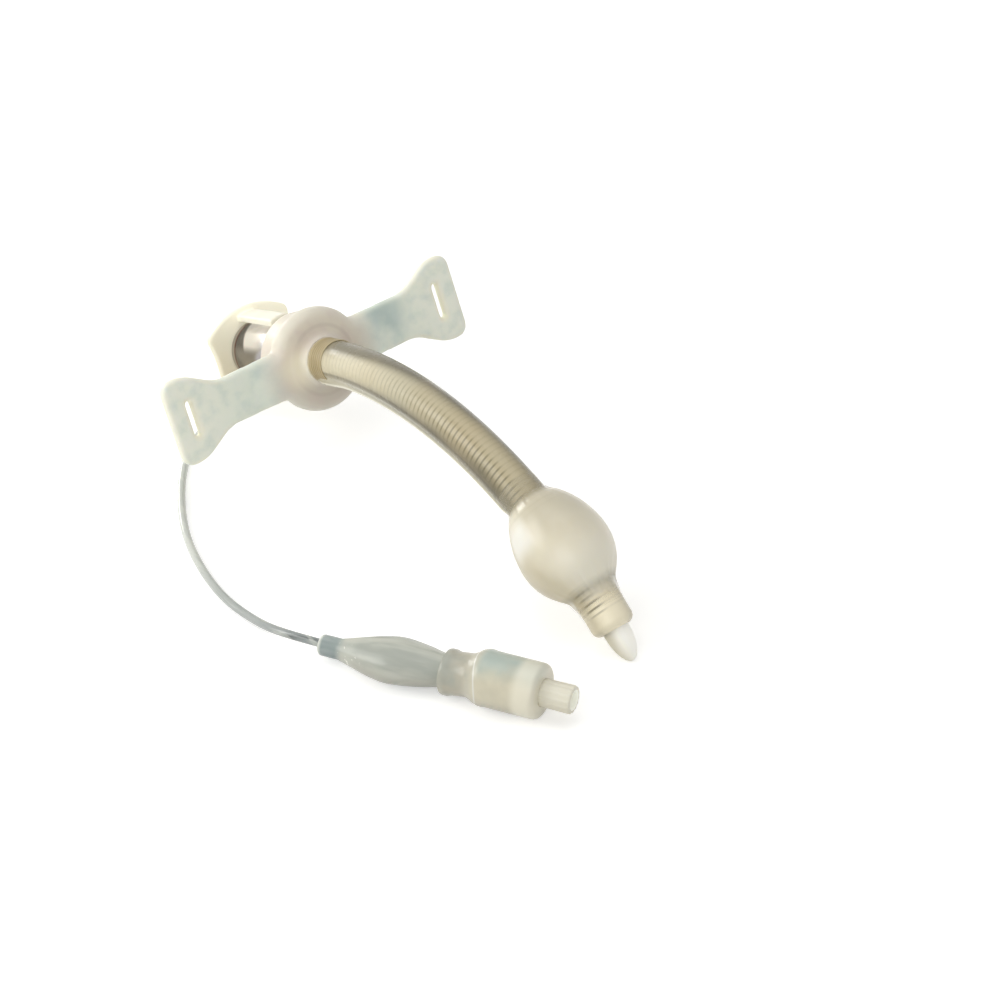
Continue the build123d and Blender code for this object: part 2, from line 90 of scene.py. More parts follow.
# Materials: a value in a node tree, so that plain sums make its Math nodes
class Shade:
    def __init__(self, tree, socket=None):
        self.tree = tree
        self.socket = socket

    def make(self, kind, settings=None, inputs=None, out=0):
        node = self.tree.nodes.new(kind)
        for name, value in (settings or {}).items():
            setattr(node, name, value)
        for name, value in (inputs or {}).items():
            if isinstance(value, Shade):
                self.tree.links.new(value.socket, node.inputs[name])
            else:
                node.inputs[name].default_value = value
        return Shade(self.tree, node.outputs[out])

    def maths(self, operation, *values):
        return self.make("ShaderNodeMath", {"operation": operation}, dict(enumerate(values)))

    def vectors(self, operation, *values, out=0):
        return self.make("ShaderNodeVectorMath", {"operation": operation}, dict(enumerate(values)), out)

    def __add__(self, other):
        return self.maths("ADD", self, other)

    def __radd__(self, other):
        return self.maths("ADD", other, self)

    def __sub__(self, other):
        return self.maths("SUBTRACT", self, other)

    def __rsub__(self, other):
        return self.maths("SUBTRACT", other, self)

    def __mul__(self, other):
        return self.maths("MULTIPLY", self, other)

    def between(self, low, high):
        settings = {"interpolation_type": "SMOOTHSTEP"}
        return self.make("ShaderNodeMapRange", settings, {0: self, 1: low, 2: high, 3: 0.0, 4: 1.0})

    # 1 within inner of the middle, and 0 from outer on
    def band(self, middle, inner, outer):
        return 1 - self.maths("ABSOLUTE", self - middle).between(inner, outer)

    def mix(self, first, second):
        colours = [value if isinstance(value, Shade) else (*value, 1) for value in (first, second)]
        return self.make("ShaderNodeMix", {"data_type": "RGBA"}, {0: self, 6: colours[0], 7: colours[1]}, 2)

    # This colour, with clouds of another over it
    def clouded(self, scale, low, high, share, colour):
        return (self.noise(scale, 3.0).between(low, high) * share).mix(self, colour)

    def bump(self, strength, distance, under=None):
        inputs = {"Height": self, "Strength": strength, "Distance": distance}
        if under:
            inputs["Normal"] = under
        return self.make("ShaderNodeBump", None, inputs)

    def noise(self, scale, detail=2.0, vector=None, roughness=0.5):
        place = vector or self.place()
        inputs = {"Vector": place, "Scale": scale, "Detail": detail, "Roughness": roughness}
        return self.make("ShaderNodeTexNoise", None, inputs)

    def mottled(self, scale, spread, base):
        return self.noise(scale).between(0.2, 0.8) * spread + base

    def place(self):
        return self.make("ShaderNodeTexCoord", out=3)

    def along(self, vector, axis, origin):
        return self.vectors("DOT_PRODUCT", self.vectors("SUBTRACT", vector, origin), axis, out=1)


def newMaterial(name, fixed, paint=None):
    material = bpy.data.materials.new(name)
    material.use_nodes = True
    tree = material.node_tree
    shader = tree.nodes["Principled BSDF"]
    for socket, value in fixed.items():
        shader.inputs[socket].default_value = (*value, 1) if socket == "Base Color" else value
    if paint:
        for socket, value in paint(Shade(tree)).items():
            tree.links.new(value.socket, shader.inputs[socket])
    return material


def soft(weight, radius, scale):
    return {"Subsurface Weight": weight, "Subsurface Radius": radius, "Subsurface Scale": scale}


# Places measured on the part, in millimetres, for patterns that follow it
def hubPlaces(pen):
    place = pen.place()
    return [pen.along(place, axis / mm, hubCentre) for axis in (across, rise, ahead)]


def tubePlaces(pen):
    side, height, depth = hubPlaces(pen)
    straight, radius = airway["straight"] / mm, airway["bendRadius"] / mm
    bent = pen.maths("MAXIMUM", depth - straight, 0.0)
    turn = pen.maths("ARCTAN2", bent, height + radius)
    reach = pen.maths("SQRT", bent * bent + (height + radius) * (height + radius))
    distance = pen.maths("MINIMUM", depth, straight) + turn * radius
    return distance, side, reach - radius


# Meshes
def newPiece(name, bm, material, body, replaced, sharp):
    bmesh.ops.recalc_face_normals(bm, faces=bm.faces)
    mesh = bpy.data.meshes.new(name)
    bm.to_mesh(mesh)
    bm.free()
    mesh.shade_smooth()
    mesh.set_sharp_from_angle(angle=radians(sharp))
    return adopt(name, mesh, material, body, replaced)


def adopt(name, data, material, body, replaced):
    piece = bpy.data.objects.new(name, data)
    scene.collection.objects.link(piece)
    data.materials.clear()
    data.materials.append(material)
    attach(piece, body)
    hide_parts(*replaced)
    return piece


# A form turned about Z from a closed outline of (radius, place) points in millimetres
def turned(outline, sides):
    bm = bmesh.new()
    corners = [bm.verts.new((radius * mm, 0, place * mm)) for radius, place in outline]
    edges = [bm.edges.new(pair) for pair in zip(corners, corners[1:] + corners[:1])]
    bmesh.ops.spin(
        bm, geom=corners + edges, cent=(0, 0, 0), axis=(0, 0, 1), angle=tau, steps=sides, use_merge=True
    )
    bmesh.ops.remove_doubles(bm, verts=bm.verts, dist=0.001 * mm)
    bmesh.ops.recalc_face_normals(bm, faces=bm.faces)
    return bm


def roundCorners(bm, verts, offset, segments):
    bmesh.ops.bevel(
        bm, geom=verts, offset=offset, segments=segments, profile=0.5, affect="VERTICES", material=-1
    )


def thicken(bm, depth):
    grown = bmesh.ops.extrude_face_region(bm, geom=list(bm.faces))["geom"]
    verts = [item for item in grown if isinstance(item, bmesh.types.BMVert)]
    bmesh.ops.translate(bm, vec=(0, 0, depth), verts=verts)


def roundEdges(bm, offset, segments, sharper):
    edges = [edge for edge in bm.edges if edge.calc_face_angle(0) > radians(sharper)]
    bmesh.ops.bevel(
        bm, geom=edges, offset=offset, offset_type="OFFSET", segments=segments, profile=0.5,
        affect="EDGES", clamp_overlap=True, material=-1,
    )


def turnOf(point):
    angle = Vector((point.x, point.y)).angle_signed(Vector((1, 0)), 0)
    return angle % tau


def spoke(angle, radius):
    return Vector((cos(angle), sin(angle), 0)) * radius * mm


# A skin of rings: shape(ring, angle) gives each point, and each ring is extruded from the last.
# A capped skin has a face at both ends, and any other is joined from its last ring to its first.
def ringed(rings, sides, shape, capped=False):
    bm = bmesh.new()
    made = bmesh.ops.create_circle(bm, segments=sides, radius=1)
    loop = sorted(made["verts"], key=lambda vert: turnOf(vert.co))
    ring = list(bm.edges)
    angles = [tau * step / sides for step in range(sides)]
    for vert, angle in zip(loop, angles):
        vert.co = shape(0, angle)
    if capped:
        bm.faces.new(loop)
    for number in range(1, rings):
        grown = bmesh.ops.extrude_edge_only(bm, edges=ring)["geom"]
        ring = [item for item in grown if isinstance(item, bmesh.types.BMEdge)]
        fresh = {item for item in grown if isinstance(item, bmesh.types.BMVert)}
        loop = [
            next(edge.other_vert(vert) for edge in vert.link_edges if edge.other_vert(vert) in fresh)
            for vert in loop
        ]
        for vert, angle in zip(loop, angles):
            vert.co = shape(number, angle)
    if capped:
        bm.faces.new(loop)
    else:
        firstRing = [edge for edge in bm.edges if edge.is_boundary and edge not in ring]
        bmesh.ops.bridge_loops(bm, edges=ring + firstRing)
    return bm


# Camera, light and table
view = {
    "target": (0.0210, -0.0002, -0.0074),
    "distance": 0.847,
    "azimuth": -35.9,
    "elevation": 37.03,
    "roll": -3.9,
    "lens": 124.3,
}


def addCamera():
    camera = bpy.data.objects.new("camera", bpy.data.cameras.new("camera"))
    camera.data.lens = view["lens"]
    turn, lift = radians(view["azimuth"]), radians(view["elevation"])
    back = Vector((sin(turn) * cos(lift), -cos(turn) * cos(lift), sin(lift)))
    aim = (-back).to_track_quat("-Z", "Y").to_matrix() @ Matrix.Rotation(radians(view["roll"]), 3, "Z")
    camera.matrix_world = Matrix.Translation(Vector(view["target"]) + back * view["distance"]) @ aim.to_4x4()
    camera.data.clip_start = 0.01
    scene.collection.objects.link(camera)
    scene.camera = camera


lamps = {
    "keyLamp": {"place": (-0.62, 0.36, 0.50), "size": 0.50, "power": 3.0, "colour": (1.0, 0.985, 0.95)},
    "topLamp": {"place": (0.05, 0.10, 0.80), "size": 0.60, "power": 1.3, "colour": (1.0, 0.985, 0.96)},
    "fillLamp": {"place": (-0.50, -0.50, 0.45), "size": 0.50, "power": 0.9, "colour": (0.95, 0.98, 1.0)},
    "backLamp": {"place": (-0.06, 0.80, 0.14), "size": 0.24, "power": 1.2, "colour": (1.0, 0.99, 0.97)},
}
stageSet = {
    "floorSize": 3.0,
    "floorColour": (0.86, 0.86, 0.85),
    "floorGlow": 0.42,
    "farGlow": 0.4,
    "farPlaces": (0.25, 1.3),
    "skyStrength": 0.46,
}


def addLamps():
    for name, lamp in lamps.items():
        light = bpy.data.lights.new(name, "AREA")
        light.energy = lamp["power"]
        light.size = lamp["size"]
        light.color = lamp["colour"]
        holder = bpy.data.objects.new(name, light)
        holder.location = lamp["place"]
        holder.rotation_euler = Vector(lamp["place"]).to_track_quat("Z", "Y").to_euler()
        scene.collection.objects.link(holder)


def cleanRays(pen):
    camera, glossy, clear = (pen.make("ShaderNodeLightPath", out=ray) for ray in (0, 3, 6))
    return pen.maths("MINIMUM", camera + glossy + clear, 1.0)


def addStage():
    bm = bmesh.new()
    bmesh.ops.create_grid(bm, x_segments=1, y_segments=1, size=stageSet["floorSize"] / 2)
    mesh = bpy.data.meshes.new("table")
    bm.to_mesh(mesh)
    bm.free()
    table = bpy.data.objects.new("table", mesh)
    scene.collection.objects.link(table)
    material = newMaterial("tableTop", {"Base Color": stageSet["floorColour"], "Roughness": 0.9})
    tree = material.node_tree
    shader = tree.nodes["Principled BSDF"]
    shader.inputs["Emission Color"].default_value = (1, 1, 1, 1)
    pen = Shade(tree)
    reach = pen.vectors("LENGTH", pen.place(), out=1)
    far = reach.between(*stageSet["farPlaces"])
    glow = cleanRays(pen) * (stageSet["floorGlow"] + far * stageSet["farGlow"])
    tree.links.new(glow.socket, shader.inputs["Emission Strength"])
    mesh.materials.append(material)
    world = bpy.data.worlds.new("studio")
    world.use_nodes = True
    scene.world = world
    background = world.node_tree.nodes["Background"]
    pen = Shade(world.node_tree)
    strength = cleanRays(pen).between(0.0, 1.0) * (1 - stageSet["skyStrength"]) + stageSet["skyStrength"]
    background.inputs["Color"].default_value = (1, 1, 1, 1)
    world.node_tree.links.new(strength.socket, background.inputs["Strength"])


addCamera()
addLamps()
addStage()
print("stage ready")

# Moulded forms: overlapping shells melted into one skin, then eased
def evaluated(mesh, modifiers):
    holder = bpy.data.objects.new("work", mesh)
    scene.collection.objects.link(holder)
    for kind, settings in modifiers:
        modifier = holder.modifiers.new(kind, kind)
        for name, value in settings.items():
            setattr(modifier, name, value)
    made = bpy.data.meshes.new_from_object(holder.evaluated_get(bpy.context.evaluated_depsgraph_get()))
    bpy.data.objects.remove(holder)
    return made


def meshOf(bm):
    bmesh.ops.recalc_face_normals(bm, faces=bm.faces)
    mesh = bpy.data.meshes.new("work")
    bm.to_mesh(mesh)
    bm.free()
    return mesh


def moulded(shells, voxel, passes):
    bm = bmesh.new()
    for shell in shells:
        bm.from_mesh(shell)
    mesh = bpy.data.meshes.new("work")
    bm.to_mesh(mesh)
    bm.free()
    fresh = bmesh.new()
    fresh.from_mesh(evaluated(mesh, [("REMESH", {"mode": "VOXEL", "voxel_size": voxel})]))
    smoothed(fresh, fresh.verts, passes)
    return fresh


def smoothed(bm, verts, passes):
    for step in range(passes):
        bmesh.ops.smooth_vert(
            bm, verts=verts, factor=0.5, use_axis_x=True, use_axis_y=True, use_axis_z=True
        )


def tint(*levels):
    return tuple(((level / 255 + 0.055) / 1.055) ** 2.4 for level in levels)


# Neck flange: hub, collar and wings in one soft moulding, with a slot in each wing
flangeSet = {
    "thickness": 2.6,
    "edge": 0.9,
    "corners": [(28.0, 5.95, 2.2), (36.6, 10.9, 2.4), (43.0, 10.9, 3.0)],
    "rootHeight": 6.4,
    "slotPlace": 37.2,
    "slotHalfLength": 3.85,
    "slotRadius": 0.75,
    "slotSteps": [(1.5, -2.25), (0.55, -1.3), (0.0, -0.75), (0.0, 0.75), (0.55, 1.3), (1.5, 2.25)],
    "slotSides": 32,
    "hub": [
        (8.15, 3.7), (7.3, 3.75), (6.6, 4.0), (6.05, 4.5), (5.75, 5.3), (5.3, 5.4), (5.3, -1.6), (6.6, -1.6),
        (6.6, -7.6), (7.5, -7.6), (7.5, -9.6), (9.7, -9.6), (10.7, -9.1), (11.2, -8.1), (11.2, -2.6),
    ],
    "rimMiddle": (9.78, 0.24),
    "rimRadius": 3.17,
    "rimTurns": (148, 16),
    "rimSteps": 14,
    "hubSides": 120,
    "voxel": 0.34 * mm,
    "passes": 5,
    "rootPasses": 14,
    "rootReach": (9, 21),
    "rootSides": 8,
    "rootFace": 0.4,
    "ramp": (9.0, 20.5),
    "rampHeight": 2.1,
    "rampSides": (3.6, 7.0),
}


def arc(middle, radius, turns, steps):
    first, last = turns
    angles = [radians(first + (last - first) * step / steps) for step in range(steps + 1)]
    return [(middle[0] + radius * sin(angle), middle[1] + radius * cos(angle)) for angle in angles]


def slotCutter(side):
    steps, sides = flangeSet["slotSteps"], flangeSet["slotSides"]
    place = Matrix.Translation((side * flangeSet["slotPlace"] * mm, 0, 0))

    def shape(ring, angle):
        grow, depth = steps[ring]
        angle += pi / sides
        reach = flangeSet["slotRadius"] + grow
        height = reach * sin(angle) + flangeSet["slotHalfLength"] * (1 if sin(angle) > 0 else -1)
        return place @ (Vector((reach * cos(angle), height, depth)) * mm)

    cutter = bpy.data.objects.new("slot", meshOf(ringed(len(steps), sides, shape, capped=True)))
    scene.collection.objects.link(cutter)
    return cutter


def addFlange():
    half = flangeSet["thickness"] / 2
    quarter = [(0, flangeSet["rootHeight"], 0)] + flangeSet["corners"]
    corners = quarter + [(x, -y, cut) for x, y, cut in reversed(quarter)]
    corners += [(-x, y, cut) for x, y, cut in reversed(corners[1:-1])]
    bm = bmesh.new()
    verts = [bm.verts.new((x * mm, y * mm, -half * mm)) for x, y, cut in corners]
    bm.faces.new(verts)
    for vert, (x, y, cut) in zip(verts, corners):
        if cut:
            roundCorners(bm, [vert], cut * mm, 7)
    thicken(bm, half * 2 * mm)
    roundEdges(bm, flangeSet["edge"] * mm, 3, 60)
    cutters = [slotCutter(side) for side in (1, -1)]
    cuts = [("BOOLEAN", {"object": cutter, "operation": "DIFFERENCE"}) for cutter in cutters]
    wings = evaluated(meshOf(bm), cuts)
    for cutter in cutters:
        bpy.data.objects.remove(cutter)
    rim = arc(flangeSet["rimMiddle"], flangeSet["rimRadius"], flangeSet["rimTurns"], flangeSet["rimSteps"])
    hub = meshOf(turned(flangeSet["hub"] + rim, flangeSet["hubSides"]))
    skin = moulded([wings, hub], flangeSet["voxel"], flangeSet["passes"])
    near, far = flangeSet["rootReach"]
    root = [
        vert for vert in skin.verts
        if near < vert.co.xy.length / mm < far and abs(vert.co.y) < flangeSet["rootSides"] * mm
    ]
    for vert in root:
        if vert.co.z > flangeSet["rootFace"] * mm:
            down = ease(vert.co.xy.length / mm, *flangeSet["ramp"])
            level = (half + flangeSet["rampHeight"] * (1 - down)) * mm
            vert.co.z += (level - vert.co.z) * (1 - ease(abs(vert.co.y) / mm, *flangeSet["rampSides"]))
    smoothed(skin, root, flangeSet["rootPasses"])
    skin.transform(airwayAt(0))
    newPiece("neckFlange", skin, flangeSkin(), "tube", ["neck_flange"], 60)


def flangeSkin():
    def paint(pen):
        side, height, depth = hubPlaces(pen)
        reach = pen.maths("ABSOLUTE", side)
        lift = pen.maths("ABSOLUTE", height)
        radius = pen.maths("SQRT", side * side + height * height)
        # A painted cream glow along the wings' outline and round each slot
        broad = reach.between(28.0, 37.0) * 4.9 + 6.0
        margin = pen.maths("MINIMUM", broad - lift, flangeSet["corners"][-1][0] - reach)
        edge = (1 - margin.between(0.0, 1.5)) * (0.25 + reach.between(22.0, 38.0) * 0.5)
        slotAway = pen.maths("MAXIMUM", lift - 3.75, 0.0)
        slotSide = reach - flangeSet["slotPlace"]
        slotRimGlow = 1 - pen.maths("SQRT", slotAway * slotAway + slotSide * slotSide).between(0.9, 2.4)
        onWing = radius.between(9.5, 19.0)
        cloud = pen.noise(70.0, 4.0).between(0.42, 0.66)
        fine = pen.noise(260.0, 4.0).between(0.4, 0.75)
        middle = reach.band(20.0, 1.0, 10.0) * cloud
        wing = reach.between(18.0, 38.0).mix(tint(236, 242, 231), tint(246, 249, 236))
        wing = (middle * 0.8).mix(wing, tint(184, 202, 198))
        wing = (fine * 0.45).mix(wing, tint(206, 219, 214))
        wing = pen.maths("MAXIMUM", edge, slotRimGlow * 0.8).mix(wing, tint(253, 249, 228))
        # The hub darker towards the bottom: painted shade
        hub = height.between(-12.0, 9.0).mix(tint(216, 209, 195), tint(230, 222, 205))
        hub = hub.clouded(160.0, 0.42, 0.7, 0.7, tint(219, 205, 194))
        ring = radius.band(8.6, 0.1, 0.8)
        hub = (ring * 0.3 * depth.between(2.0, 3.4)).mix(hub, tint(196, 184, 170))
        glowSide, glowHeight = side + 7.0, height - 1.0
        glow = 1 - pen.maths("SQRT", glowSide * glowSide + glowHeight * glowHeight).between(1.0, 7.5)
        hub = (glow * 0.9 * depth.between(1.0, 3.4)).mix(hub, tint(254, 245, 222))
        grain = pen.noise(900.0, 3.0).bump(0.12, 0.00012)
        return {
            "Base Color": onWing.mix(hub, wing),
            "Roughness": pen.mottled(240.0, 0.14, 0.34),
            "Normal": pen.noise(110.0, 2.0).bump(0.25, 0.0006, grain),
        }

    fixed = soft(0.35, (1.0, 0.9, 0.7), 0.0022) | {"Specular IOR Level": 0.35}
    return newMaterial("flangeSilicone", fixed, paint)


# The sleeve round the tube's root, finely ringed
sleeveSet = {
    "start": 3.0,
    "end": 11.0,
    "foot": 5.66,
    "tip": 5.5,
    "inner": 5.27,
    "rings": 9,
    "depth": 0.05,
    "steps": 60,
    "sides": 120,
    "lip": (0.12, 0.25),
}


def addSleeve():
    length = sleeveSet["end"] - sleeveSet["start"]
    lipDepth, lipLength = sleeveSet["lip"]
    outline = [(sleeveSet["inner"], sleeveSet["start"])]
    for step in range(sleeveSet["steps"] + 1):
        share = step / sleeveSet["steps"]
        wave = sleeveSet["depth"] * cos(share * sleeveSet["rings"] * tau) * ease(share, 0.1, 0.3)
        radius = sleeveSet["foot"] + (sleeveSet["tip"] - sleeveSet["foot"]) * ease(share, 0, 0.5) + wave
        outline.append((radius, sleeveSet["start"] + share * (length - lipLength)))
    outline += [(sleeveSet["tip"] - lipDepth, sleeveSet["end"]), (sleeveSet["inner"], sleeveSet["end"])]
    bm = turned(outline, sleeveSet["sides"])
    bm.transform(airwayAt(0))

    def paint(pen):
        distance = tubePlaces(pen)[0]
        stripe = pen.maths("SINE", distance * (tau * sleeveSet["rings"] / length) + 1.5).between(-0.6, 0.9)
        colour = stripe.mix(tint(166, 149, 112), tint(190, 174, 138))
        colour = distance.between(4.4, 6.6).mix(tint(206, 193, 160), colour)
        return {
            "Base Color": colour,
            "Roughness": pen.mottled(500.0, 0.12, 0.3),
            "Normal": pen.noise(1200.0, 3.0).bump(0.15, 0.0001),
        }

    material = newMaterial("sleeveSilicone", soft(0.3, (1.0, 0.8, 0.5), 0.0015), paint)
    newPiece("flangeSleeve", bm, material, "tube", ["neck_flange"], 60)


addFlange()
addSleeve()
print("flange done")

# Airway tube: a clear skin with the inflation ridge, over the wire coil and the beige inner wall
tubeSet = {
    "radius": 5.25,
    "start": 4.5,
    "end": 122.0,
    "round": 2.0,
    "liner": 4.2,
    "bore": 3.75,
    "ridgeAngle": 221,
    "ridgeMiddle": 4.95,
    "ridges": [
        (4.5, 0.45), (8.5, 1.35), (12.0, 1.3), (19.0, 0.95),
        (82.5, 0.95), (85.5, 0.4), (90.0, 0.35), (92.0, 0.2),
    ],
    "sides": 180,
    "pace": 1.3,
    "lip": 0.3,
    "borePlaces": (110, 90, 70, 50, 30, 15),
    "boreGap": 0.05,
    "linerPace": 5,
    "linerEnd": 116.0,
    "linerSides": 96,
}


# A value from a table of (place, value), eased from each entry to the next
def easedAlong(table, place):
    for (first, low), (second, high) in zip(table, table[1:]):
        if place <= second:
            return low + (high - low) * ease(place, first, second)
    return table[-1][1]


def ridgedRadius(angle, distance, radius):
    away = angle - radians(tubeSet["ridgeAngle"])
    middle, ridge = tubeSet["ridgeMiddle"], easedAlong(tubeSet["ridges"], distance)
    under = ridge * ridge - (middle * sin(away)) ** 2
    if cos(away) < 0 or under <= 0:
        return radius
    return max(radius, middle * cos(away) + sqrt(under))


def tubeRings():
    first, last, cut = tubeSet["start"], tubeSet["end"], tubeSet["round"]
    count = int((last - cut - first) / tubeSet["pace"])
    rings = [(first + (last - cut - first) * step / count, 0) for step in range(count + 1)]
    for step in range(1, 6):
        turn = pi * step / 12
        rings.append((last - cut + cut * sin(turn), cut * (1 - cos(turn))))
    return rings


def addTube():
    boreRings = (tubeSet["end"] - tubeSet["lip"], *tubeSet["borePlaces"], tubeSet["start"])
    rings = tubeRings() + [(place, None) for place in boreRings]

    def shape(ring, angle):
        distance, sunk = rings[ring]
        if sunk is None:
            radius = tubeSet["bore"] + tubeSet["boreGap"]
        else:
            radius = ridgedRadius(angle, distance, tubeSet["radius"]) - sunk
        return airwayAt(distance * mm) @ spoke(angle, radius)

    bm = ringed(len(rings), tubeSet["sides"], shape)
    newPiece("tubeWall", bm, tubeSkin(), "tube", ["shaft_tube"], 50)


# The coil's turns as stripes, and the flank of the tube on which they show dark
def coilMarks(pen, distance, turn):
    stripes = pen.maths("COSINE", (distance - coilSet["start"]) * (tau / coilSet["pitch"]) - turn)
    return stripes, turn.band(2.42, 0.15, 0.62)


def tubeSkin():
    def paint(pen):
        distance, side, height = tubePlaces(pen)
        turn = pen.maths("ARCTAN2", height, side)
        coil, flank = coilMarks(pen, distance, turn)
        near = 1 - distance.between(22.0, 48.0)
        lit = pen.maths("COSINE", turn + pen.maths("MINIMUM", distance, 74.0) * 0.015 - 2.96)
        tip = distance.between(107.0, 113.0)
        colour = distance.between(40.0, 62.0).mix(tint(214, 206, 178), tint(206, 194, 160))
        # Painted highlight: the distal tip and the stretch near the flange are made paler
        colour = tip.mix(colour, tint(252, 242, 213))
        colour = (near * 0.6).mix(colour, tint(230, 222, 196))
        shadow = (1 - lit.between(near * 0.2 + 0.5, 0.99)) * (0.85 - tip * 0.5)
        shadow = shadow * (lit.between(-0.6, 0.25) * 0.65 + 0.35)
        colour = shadow.mix(colour, tint(108, 102, 82))
        colour = colour.clouded(60.0, 0.45, 0.7, 0.3, tint(206, 188, 150))
        reach = 0.1 + distance.between(25.0, 72.0) * 0.58
        faint = 0.04 + distance.between(20.0, 70.0) * 0.08
        dash = coil.between(0.1, 0.95) * (faint + flank * reach) * (1 - distance.between(116.6, 118.0))
        colour = dash.mix(colour, tint(112, 104, 76))
        off = turn + (2 * pi - radians(tubeSet["ridgeAngle"]))
        fading = 1 - distance.between(84.0, 86.5)
        ridge = off.band(0.0, 0.1, 0.24) * fading
        crestHighlight = off.band(-0.05, 0.03, 0.11)
        apart = pen.maths("ARCCOSINE", pen.maths("COSINE", off) * 0.9999)
        pale = (1 - apart.between(0.34, 0.52)) * fading
        grooveShade = (apart - distance * 0.002).band(0.56, 0.02, 0.12) * fading
        under = off.band(0.22, 0.08, 0.28) * fading
        colour = (pale * 0.55).mix(colour, tint(232, 228, 208))
        # Painted shade in the groove beside the ridge and on its underside
        colour = pen.maths("MAXIMUM", grooveShade * 0.5, under * 0.85).mix(colour, tint(100, 92, 68))
        # Painted shade on the ridge near its root at the flange
        root = (1 - distance.between(10.0, 17.0)) * ridge
        colour = (root * 0.6).mix(colour, tint(150, 138, 104))
        # A painted highlight along the ridge's crest
        colour = (ridge * crestHighlight * 0.9).mix(colour, tint(250, 246, 228))
        clear = pen.maths("MAXIMUM", near * 0.16, tip * 0.2) + 0.8
        fine = pen.noise(700.0, 2.0).bump(0.1, 0.00008)
        return {
            "Base Color": colour,
            "Alpha": pen.maths("MAXIMUM", clear, pen.maths("MAXIMUM", ridge, under) * 0.97),
            "Roughness": pen.mottled(300.0, 0.12, 0.22),
            "Normal": coil.bump(0.1, 0.00006, fine),
        }

    fixed = {"Coat Weight": 0.18, "Coat Roughness": 0.25, "Specular IOR Level": 0.35}
    return newMaterial("tubeSilicone", fixed, paint)


def addLiner():
    start, end, pace = tubeSet["start"], tubeSet["linerEnd"], tubeSet["linerPace"]
    places = [start + step * pace for step in range(int((end - start) / pace) + 1)] + [end]
    rings = [(place, tubeSet["liner"]) for place in places]
    rings += [(place, tubeSet["bore"]) for place in reversed(places)]

    def shape(ring, angle):
        distance, radius = rings[ring]
        return airwayAt(distance * mm) @ spoke(angle, radius)

    bm = ringed(len(rings), tubeSet["linerSides"], shape)

    def paint(pen):
        height = tubePlaces(pen)[2]
        # The inner wall darker towards the bottom: painted shade
        colour = height.between(-4.0, 4.0).mix(tint(168, 158, 128), tint(206, 196, 164))
        return {"Base Color": pen.noise(120.0, 3.0).between(0.4, 0.7).mix(colour, tint(190, 176, 142))}

    material = newMaterial("tubeLining", {"Roughness": 0.55}, paint)
    newPiece("tubeLiner", bm, material, "tube", ["shaft_tube"], 50)


coilSet = {"radius": 4.45, "wire": 0.2, "pitch": 1.43, "start": 5.2, "end": 117.5, "perTurn": 32, "sides": 6}


def addCoil():
    count = int((coilSet["end"] - coilSet["start"]) / coilSet["pitch"] * coilSet["perTurn"])

    def shape(ring, angle):
        turn = tau * ring / coilSet["perTurn"]
        distance = coilSet["start"] + coilSet["pitch"] * ring / coilSet["perTurn"]
        reach = coilSet["radius"] + coilSet["wire"] * cos(angle)
        place = Vector((reach * cos(turn), reach * sin(turn), coilSet["wire"] * sin(angle)))
        return airwayAt(distance * mm) @ (place * mm)

    bm = ringed(count, coilSet["sides"], shape, capped=True)

    def paint(pen):
        colour = pen.noise(400.0).between(0.3, 0.7).mix(tint(136, 128, 102), tint(172, 162, 134))
        return {"Base Color": colour}

    material = newMaterial("wireSteel", {"Metallic": 0.6, "Roughness": 0.35}, paint)
    newPiece("wireCoil", bm, material, "tube", ["reinforcing_wire"], 60)


addTube()
addLiner()
addCoil()
print("tube done")

# Cuff: a blown-up film with fine lengthwise puckers where its necks grip the tube
cuffSet = {
    "profile": [
        (81.5, 5.34), (83.0, 5.42), (85.0, 5.5), (86.2, 5.85), (87.4, 6.6), (89.2, 7.95), (92.0, 9.35),
        (95.2, 10.45), (99.8, 11.15), (103.8, 10.78), (107.0, 9.6), (109.6, 7.8), (111.2, 6.45),
        (112.4, 5.95), (114.2, 5.68), (116.4, 5.33),
    ],
    "steps": 96,
    "sides": 144,
    "pucker": 0.12,
    "folds": (23, 37),
    "nearGrip": (87.5, 93.0),
    "farGrip": (105.5, 110.5),
    "nearFilm": (83.0, 86.0),
    "farFilm": (111.5, 114.0),
    "gap": 0.03,
}


# A smooth line through the table's points
def threaded(table, place):
    last = len(table) - 1
    index = max(1, next((number for number, entry in enumerate(table) if entry[0] > place), last))
    (x0, y0), (x1, y1) = table[index - 1], table[index]
    before, after = table[max(0, index - 2)], table[min(last, index + 1)]
    share = (place - x0) / (x1 - x0)
    slopeIn = (y1 - before[1]) / (x1 - before[0]) * (x1 - x0)
    slopeOut = (after[1] - y0) / (after[0] - x0) * (x1 - x0)
    square, cube = share * share, share ** 3
    return (
        y0 * (2 * cube - 3 * square + 1) + y1 * (3 * square - 2 * cube)
        + slopeIn * (cube - 2 * square + share) + slopeOut * (cube - square)
    )


